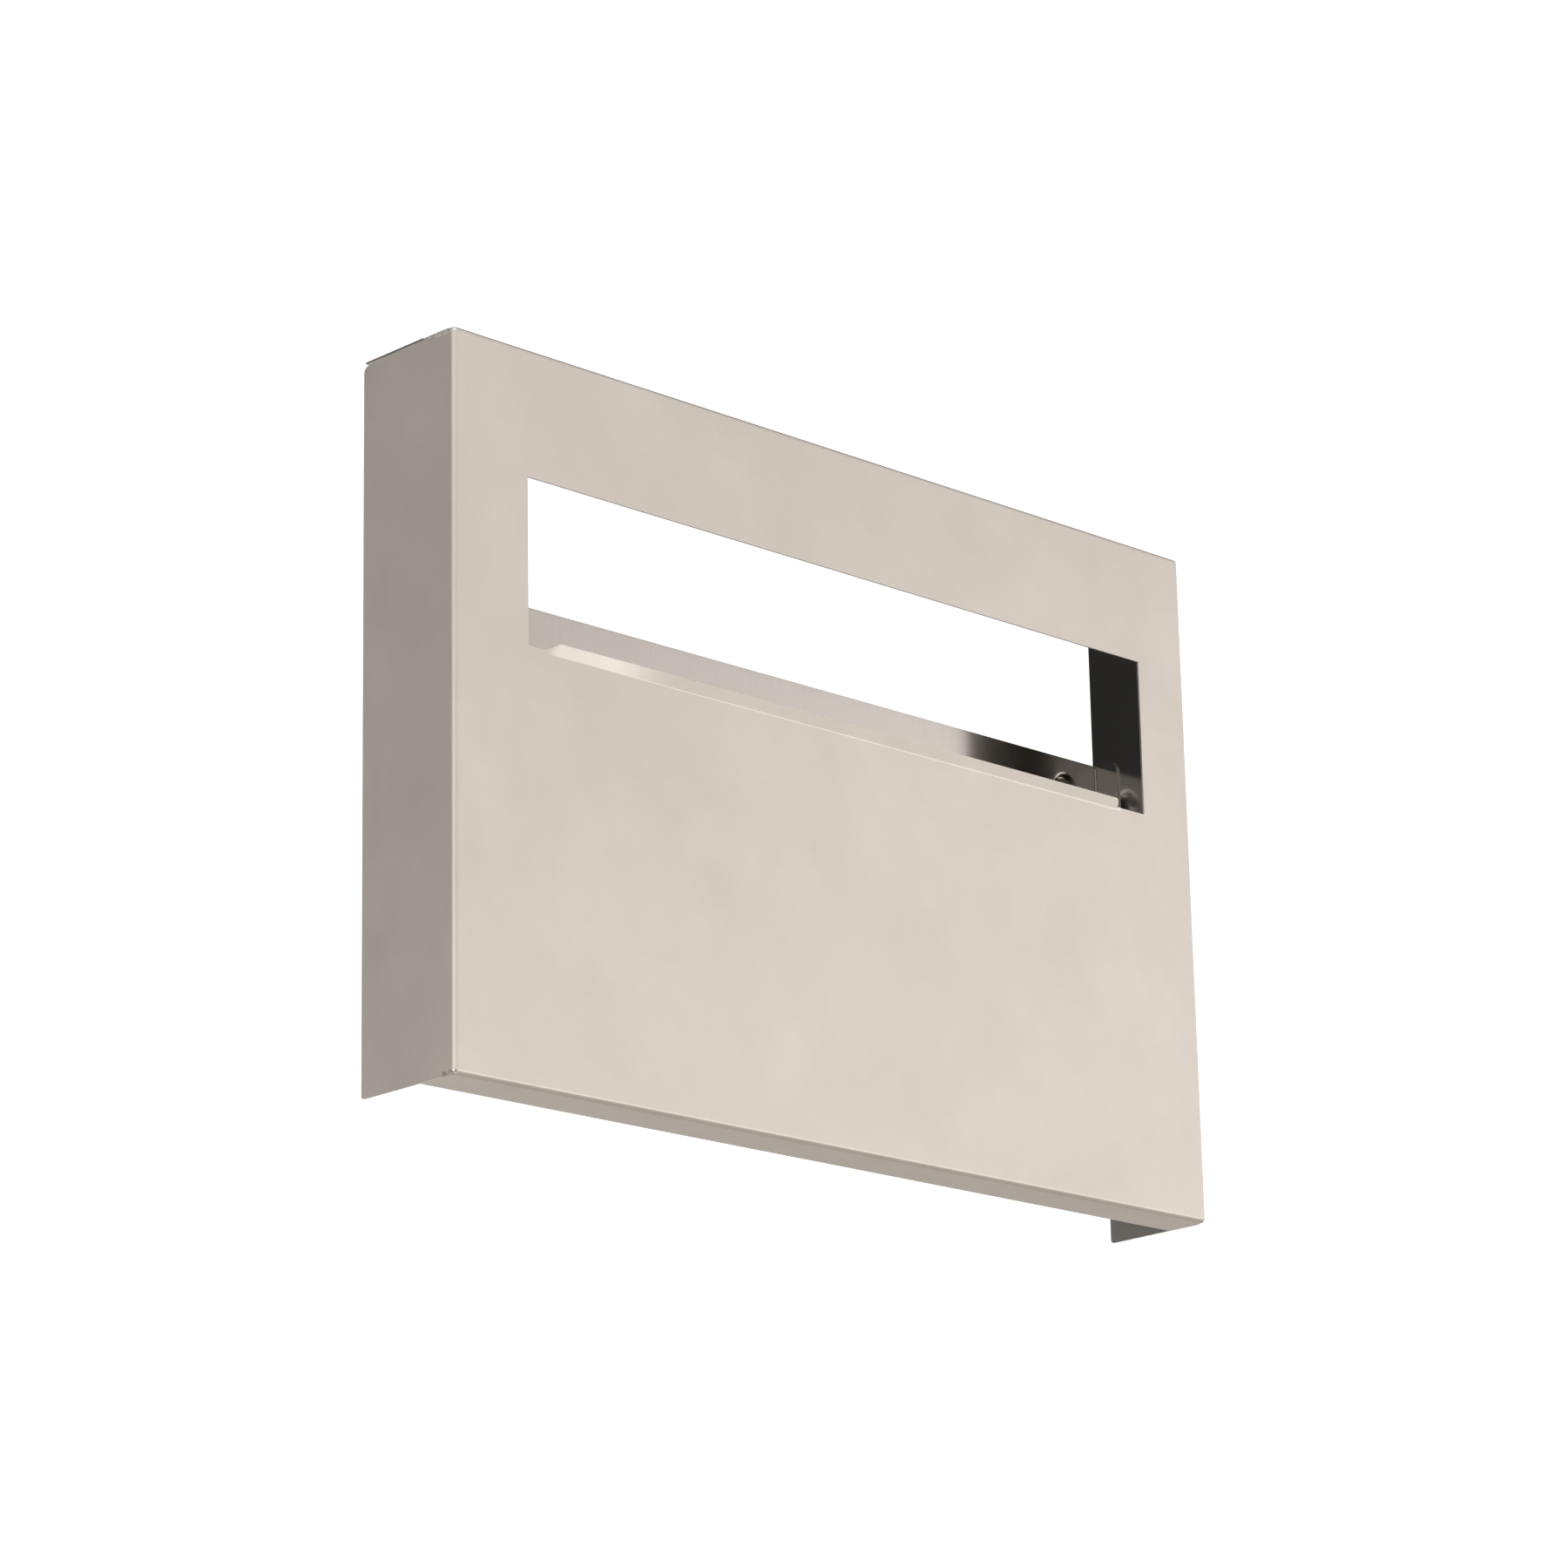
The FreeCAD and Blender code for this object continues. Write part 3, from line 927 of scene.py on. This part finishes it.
def dimple(skin, x, z):
    """Rings from the square down to the screw hole."""
    outline = square_ring(x, z)
    outline.append(outline[0])
    rings = [[(px, plate_rear, pz) for px, pz in outline]]
    slope = spread(RIM_RADIUS, FLOOR_RADIUS, 10)
    for radius in [FIRST_RING] + slope + spread(FLOOR_RADIUS, HOLE_RADIUS, 3)[1:]:
        ring = []
        for i in range(len(outline)):
            turn = math.radians(225) + 2 * math.pi * i / (len(outline) - 1)
            ring.append((x + radius * math.cos(turn), dimple_level(radius),
                         z + radius * math.sin(turn)))
        rings.append(ring)
    add_patch(skin, rings)


print("A dimple has", 4 * SIDE_CELLS, "points around")

# %% [markdown]
# The web of the plate is a grid whose lines pass through the corners of those squares. The flanges
# are folded forwards, with rounded front corners.

# %% The plate's web and flanges
FLANGE_CORNER = 4.0 * MM


def lines_across(low, high, hole):
    """Grid lines from low to high that pass the squares around the holes at -hole and +hole."""
    lines = spread(low, -hole - SQUARE, 2)
    lines += spread(-hole - SQUARE, -hole + SQUARE, SIDE_CELLS)[1:]
    lines += spread(-hole + SQUARE, hole - SQUARE, 10)[1:]
    lines += spread(hole - SQUARE, hole + SQUARE, SIDE_CELLS)[1:]
    return lines + spread(hole + SQUARE, high, 2)[1:]


def near_hole(x, z):
    """True inside the square around a screw hole."""
    return abs(abs(x) - screw_x) < SQUARE and abs(abs(z) - screw_z) < SQUARE


def plate_flange(skin, heights, mirror):
    """One flange and its fold. mirror is 1 for the right and -1 for the left."""
    edge_x = plate_right if mirror > 0 else plate_left
    bend = []
    for step in range(FOLD_STEPS + 1):
        outward, forward = fold_arc(step)
        bend.append([(edge_x - mirror * (FOLD - outward), plate_rear - forward, z) for z in heights])
    add_patch(skin, bend)
    flange = []
    depth = plate_rear - FOLD - plate_flange_front
    flange_places = [plate_rear - FOLD, plate_rear - FOLD - 0.4 * depth]
    for y in flange_places + corner_places(plate_flange_front, 1, FLANGE_CORNER):
        drop = corner_drop(y - plate_flange_front, FLANGE_CORNER)
        row = [min(max(z, plate_bottom + drop), plate_top - drop) for z in heights]
        flange.append([(edge_x, y, z) for z in row])
    add_patch(skin, flange)


print("The plate's grid is finest around the holes, in squares of", 2 * SQUARE / MM, "mm")

# %% Build the back plate
PLATE_TINT = (0.56, 0.51, 0.465)
PLATE_ROUGHNESS = 0.15
PLATE_EDGE = 0.08 * MM
plate_skin = empty_skin()
plate_columns = lines_across(plate_left + FOLD, plate_right - FOLD, screw_x)
plate_heights = lines_across(plate_bottom, plate_top, screw_z)
for low_z, high_z in zip(plate_heights, plate_heights[1:]):
    for low_x, high_x in zip(plate_columns, plate_columns[1:]):
        if not near_hole((low_x + high_x) / 2, (low_z + high_z) / 2):
            add_patch(plate_skin, [[(low_x, plate_rear, low_z), (high_x, plate_rear, low_z)],
                                   [(low_x, plate_rear, high_z), (high_x, plate_rear, high_z)]])
for x in (-screw_x, screw_x):
    for z in (-screw_z, screw_z):
        dimple(plate_skin, x, z)
for mirror in (-1, 1):
    plate_flange(plate_skin, plate_heights, mirror)
plate_finish = mill_skin_painted_shade("plate_mill_painted_shade", PLATE_TINT, PLATE_ROUGHNESS)
plate = weld_patches("back_plate_pressed", plate_skin, (0, wall + 1, 0))
thicken(plate, [plate_finish, plate_finish, edge], PLATE_EDGE)
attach(plate, "root")
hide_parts("back_plate")
print("The plate has", len(plate.data.polygons), "faces before its thickness is grown")

# %% [markdown]
# ## The wall screws
# A pan-head screw is turned and rolled. Its head is a body of revolution, its cross recess is punched,
# and its thread is rolled between two plates. We spin the head's outline, cut the recess with a
# tapered cross, and sweep the thread's ridge along a helix.

# %% Head and shank
SCREW_RADIUS = 2.1 * MM
CORE_RADIUS = 1.5 * MM
NECK_RADIUS = 1.8 * MM
HEAD_HEIGHT = 2.95 * MM
HEAD_RIM = 1.3 * MM
POINT_LENGTH = 4.5 * MM
screw_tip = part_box("wall_screws")[1].y
seat = wall - SHEET
AROUND = 48


def spin(name, outline):
    """Turn an outline of (radius, y) pairs about the Y axis."""
    turned = empty_skin()
    turned_rows = []
    for radius, y in outline:
        turned_rows.append([(radius * math.cos(2 * math.pi * i / AROUND), y,
                             radius * math.sin(2 * math.pi * i / AROUND)) for i in range(AROUND + 1)])
    add_patch(turned, turned_rows)
    return weld_patches(name, turned, (0, seat - 1, 0))


def head_outline():
    """From the middle of the crown, over the rim and the neck, to the tip."""
    rise = HEAD_HEIGHT - HEAD_RIM
    dome = (HEAD_RADIUS ** 2 + rise ** 2) / (2 * rise)
    crown = seat - HEAD_HEIGHT
    outline = []
    for step in range(13):
        radius = HEAD_RADIUS * 0.97 * step / 12
        outline.append((radius, crown + dome - math.sqrt(dome ** 2 - radius ** 2)))
    rim_start = outline[-1][1]
    outline += [(HEAD_RADIUS * 0.993, rim_start + 0.15 * MM), (HEAD_RADIUS, rim_start + 0.35 * MM),
                (HEAD_RADIUS, seat - 0.15 * MM), (HEAD_RADIUS - 0.1 * MM, seat), (NECK_RADIUS, seat)]
    outline += [(NECK_RADIUS, wall - 0.2 * MM), (CORE_RADIUS, wall + 0.4 * MM)]
    outline += [(CORE_RADIUS, screw_tip - POINT_LENGTH), (0.0, screw_tip)]
    return outline


screw = spin("screw_blank", head_outline())
print("The screw blank has", len(screw.data.polygons), "faces")

# %% [markdown]
# The recess is a cross with sloping walls, so it is wide at the top and narrow at the bottom. We make
# it as two thin wedges and cut both out of the head with a Boolean modifier.

# %% Cross recess
ABOVE_CROWN = 1.0 * MM
RECESS_DEPTH = 1.75 * MM


def wedge(name, turn):
    """One arm pair of the cross: long and wide above the crown, short and thin at the bottom."""
    crown = seat - HEAD_HEIGHT
    corners = []
    for y, half_span, half_width in ((crown - ABOVE_CROWN, 2.7 * MM, 0.62 * MM),
                                     (crown + RECESS_DEPTH, 0.8 * MM, 0.38 * MM)):
        for sx, sz in ((-1, -1), (1, -1), (1, 1), (-1, 1)):
            corners.append((sx * half_span, y, sz * half_width))
    faces = [(0, 1, 2, 3), (4, 7, 6, 5), (0, 4, 5, 1), (1, 5, 6, 2), (2, 6, 7, 3), (3, 7, 4, 0)]
    mesh = bpy.data.meshes.new(name)
    mesh.from_pydata(corners, [], faces)
    mesh.transform(Matrix.Rotation(turn, 4, "Y"))
    builder = bmesh.new()
    builder.from_mesh(mesh)
    bmesh.ops.recalc_face_normals(builder, faces=builder.faces)
    builder.to_mesh(mesh)
    builder.free()
    return add_object(name, mesh)


def cut_recess(piece, cutters):
    """Cut each cutter out of the piece, keep the result and remove the cutters."""
    for cutter in cutters:
        cut = piece.modifiers.new("recess", "BOOLEAN")
        cut.operation = "DIFFERENCE"
        cut.solver = "EXACT"
        cut.object = cutter
    bpy.context.view_layer.update()
    graph = bpy.context.evaluated_depsgraph_get()
    piece.data = bpy.data.meshes.new_from_object(piece.evaluated_get(graph))
    piece.modifiers.clear()
    for cutter in cutters:
        bpy.data.objects.remove(cutter)


cut_recess(screw, [wedge("recess_a", 0.0), wedge("recess_b", math.radians(90))])
print("With its recess the screw has", len(screw.data.polygons), "faces")

# %% [markdown]
# The thread is a ridge with a triangular section. Its foot lies on the core and its crest is the
# screw's full radius. Near the tip the ridge shrinks with the point.

# %% Rolled thread
PITCH = 1.4 * MM
THREAD_START = 0.5 * MM
THREAD_END = 0.7 * MM
RIDGE_FOOT = 0.36
RIDGE_CREST = 0.048
RUN_IN_TURNS = 0.75
STEPS_PER_TURN = 24


def thread_ridge(skin):
    """Sweep the ridge along a helix from the wall to the tip."""
    start, end = wall + THREAD_START, screw_tip - THREAD_END
    steps = int((end - start) / PITCH * STEPS_PER_TURN)
    sections = []
    for i in range(steps + 1):
        turn = 2 * math.pi * i / STEPS_PER_TURN
        y = start + PITCH * i / STEPS_PER_TURN
        taper = min(1.0, max(0.05, (screw_tip - y) / POINT_LENGTH))
        run_in = blend_smoothly(i / (RUN_IN_TURNS * STEPS_PER_TURN))
        foot = CORE_RADIUS * taper * 0.97
        crest = foot + (SCREW_RADIUS - CORE_RADIUS) * min(1.0, taper * 1.3) * run_in
        section = []
        for radius, shift in ((foot, -RIDGE_FOOT), (crest, -RIDGE_CREST), (crest, RIDGE_CREST),
                              (foot, RIDGE_FOOT)):
            section.append((radius * math.cos(turn), y + shift * PITCH * max(taper, 0.3),
                            radius * math.sin(turn)))
        sections.append(section)
    add_patch(skin, sections)


ridge_skin = empty_skin()
thread_ridge(ridge_skin)
ridge = weld_patches("thread_ridge", ridge_skin, (1, 0, 0))
print("The ridge has", len(ridge.data.polygons), "faces")

# %% [markdown]
# A person who drives four screws by hand leaves each recess at an angle of its own, so each screw is
# turned further than the last. The four screws are joined into one piece.

# %% Set the four screws
SCREW_TINT = (0.62, 0.59, 0.55)
SCREW_ROUGHNESS = 0.28
FIRST_TWIST = 24
NEXT_TWIST = 62


def join_meshes(name, parts):
    """Join pieces, given as (mesh, place) pairs, into one mesh object."""
    builder = bmesh.new()
    for mesh, place in parts:
        moved = mesh.copy()
        moved.transform(place)
        builder.from_mesh(moved)
        bpy.data.meshes.remove(moved)
    mesh = bpy.data.meshes.new(name)
    builder.to_mesh(mesh)
    builder.free()
    return add_object(name, mesh)


parts = []
twist = FIRST_TWIST
for x in (-screw_x, screw_x):
    for z in (-screw_z, screw_z):
        place = Matrix.Translation((x, 0, z)) @ Matrix.Rotation(math.radians(twist), 4, "Y")
        parts += [(screw.data, place), (ridge.data, place)]
        twist += NEXT_TWIST
screws = join_meshes("wall_screws_rolled", parts)
for blank in (screw, ridge):
    bpy.data.objects.remove(blank)
screws.data.materials.append(mill_skin_painted_shade("screw_steel", SCREW_TINT, SCREW_ROUGHNESS))
shade_smooth(screws)
for face in screws.data.polygons:
    face.material_index = 0
screws.data.set_sharp_from_angle(angle=math.radians(35))
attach(screws, "root")
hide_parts("wall_screws")
print("Four screws with", len(screws.data.polygons), "faces")

# %% [markdown]
# ## The studio
# A product picture needs very little: a plain pale floor, a white surround and soft light. Metal shows
# what stands around it, so there are no lamps here. The surround itself glows in a dozen soft patches,
# and each panel reflects the few that face it. The brightness of a patch was tuned until the panels
# that show it had the right shade.

# %% The floor
FLOOR_LEVEL = -1.85
FLOOR_HALF = 6.0
FLOOR_TINT = (0.8, 0.79, 0.77)


def pale_floor():
    """A wide, plain, pale floor."""
    mesh = bpy.data.meshes.new("floor")
    corners = [(-1, -1), (1, -1), (1, 1), (-1, 1)]
    mesh.from_pydata([(x * FLOOR_HALF, y * FLOOR_HALF, FLOOR_LEVEL) for x, y in corners], [],
                     [(0, 1, 2, 3)])
    floor = add_object("floor", mesh)
    material, _, _ = new_material("pale_floor", 0.0, 0.7, FLOOR_TINT)
    floor.data.materials.append(material)
    floor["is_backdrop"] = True


pale_floor()
print("Floor at", FLOOR_LEVEL, "m")

# %% [markdown]
# A glow is brightest in one direction and falls off around it, as a power of the cosine of the angle.
# A high power makes it small. The camera itself doesn't see the glows: it sees plain white.

# %% The surround
WHITE_STRENGTH = 1.2


def direction(azimuth, elevation):
    """A direction from the object: azimuth 0 is straight in front, 90 to the right."""
    a, e = math.radians(azimuth), math.radians(elevation)
    return Vector((math.sin(a) * math.cos(e), -math.cos(a) * math.cos(e), math.sin(e)))


def glow(tree, azimuth, elevation, tightness, brightness):
    """A soft glow around one direction: the cosine of the angle to it, raised to a power."""
    way = tree.nodes.new("ShaderNodeTexCoord").outputs["Generated"]
    dot = tree.nodes.new("ShaderNodeVectorMath")
    dot.operation = "DOT_PRODUCT"
    tree.links.new(way, dot.inputs[0])
    dot.inputs[1].default_value = direction(azimuth, elevation)
    nearness = calculate(tree, "MAXIMUM", dot.outputs["Value"], 0.0)
    return calculate(tree, "MULTIPLY", calculate(tree, "POWER", nearness, tightness), brightness)


def white_surround(glows):
    """White where the camera looks past the object, and soft glows on the object itself."""
    world = bpy.data.worlds.new("studio")
    world.use_nodes = True
    bpy.context.scene.world = world
    tree = world.node_tree
    tree.nodes.clear()
    output = tree.nodes.new("ShaderNodeOutputWorld")
    mix = tree.nodes.new("ShaderNodeMixShader")
    ray = tree.nodes.new("ShaderNodeLightPath")
    room = tree.nodes.new("ShaderNodeBackground")
    white = tree.nodes.new("ShaderNodeBackground")
    room.inputs["Color"].default_value = (1, 1, 1, 1)
    white.inputs["Color"].default_value = (1, 1, 1, 1)
    white.inputs["Strength"].default_value = WHITE_STRENGTH
    level = glow(tree, *glows[0])
    for values in glows[1:]:
        level = calculate(tree, "ADD", level, glow(tree, *values))
    tree.links.new(level, room.inputs["Strength"])
    tree.links.new(ray.outputs["Is Camera Ray"], mix.inputs["Fac"])
    tree.links.new(room.outputs["Background"], mix.inputs[1])
    tree.links.new(white.outputs["Background"], mix.inputs[2])
    tree.links.new(mix.outputs["Shader"], output.inputs["Surface"])


# Each glow: azimuth and elevation in degrees, tightness (the power) and brightness.
GLOWS = [
    (100, -15, 14, 2.2),
    (130, -12, 14, 0.3),
    (160, 5, 14, 4.0),
    (60, 5, 14, 1.8),
    (60, 30, 8, 0.4),
    (20, -15, 14, 2.25),
    (0, 25, 14, 0.6),
    (0, 50, 14, 1.2),
    (-40, -15, 14, 3.5),
    (-60, 50, 14, 3.3),
    (-80, -15, 14, 6.4),
    (-100, 10, 8, 0.26),
]
white_surround(GLOWS)
bpy.context.scene.view_settings.view_transform = "Standard"
print("Surround ready, with", len(GLOWS), "glows")

# %% [markdown]
# ## The camera
# The cabinet hangs at head height, and we look up at it from the left. A long lens keeps the
# verticals nearly parallel. The camera leans by about one degree, as a hand-held one does.

# %% Camera
AIM = Vector((-0.43, -16.87, 41.0)) * MM
CAMERA_DISTANCE = 2.0123
CAMERA_AZIMUTH = -44.379
CAMERA_ELEVATION = -16.908
CAMERA_LEAN = math.radians(1.1745)
FOCAL_LENGTH = 119.59


def place_camera():
    """Set the camera on its direction from the aim point, then lean it a little."""
    data = bpy.data.cameras.new("camera")
    data.lens = FOCAL_LENGTH
    data.sensor_width = 36
    data.clip_end = 50
    camera = bpy.data.objects.new("camera", data)
    back = direction(CAMERA_AZIMUTH, CAMERA_ELEVATION)
    camera.location = AIM + back * CAMERA_DISTANCE
    camera.rotation_mode = "QUATERNION"
    level = (-back).to_track_quat("-Z", "Y")
    camera.rotation_quaternion = level @ Matrix.Rotation(-CAMERA_LEAN, 3, "Z").to_quaternion()
    bpy.context.scene.collection.objects.link(camera)
    bpy.context.scene.camera = camera
    return camera


camera = place_camera()
print("Camera at", tuple(round(v, 3) for v in camera.location))

# %% [markdown]
# ## The size
# We print the design's box and the visible model's box side by side, so that they can be compared.
# The visible model must not be larger than the design.

# %% Write the sizes
seen_low, seen_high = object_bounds()
for corner, cad_corner, seen_corner in (("low", cad_low, seen_low), ("high", cad_high, seen_high)):
    print(corner, "corner: design", [round(v / MM, 2) for v in cad_corner],
          "visible", [round(v / MM, 2) for v in seen_corner])
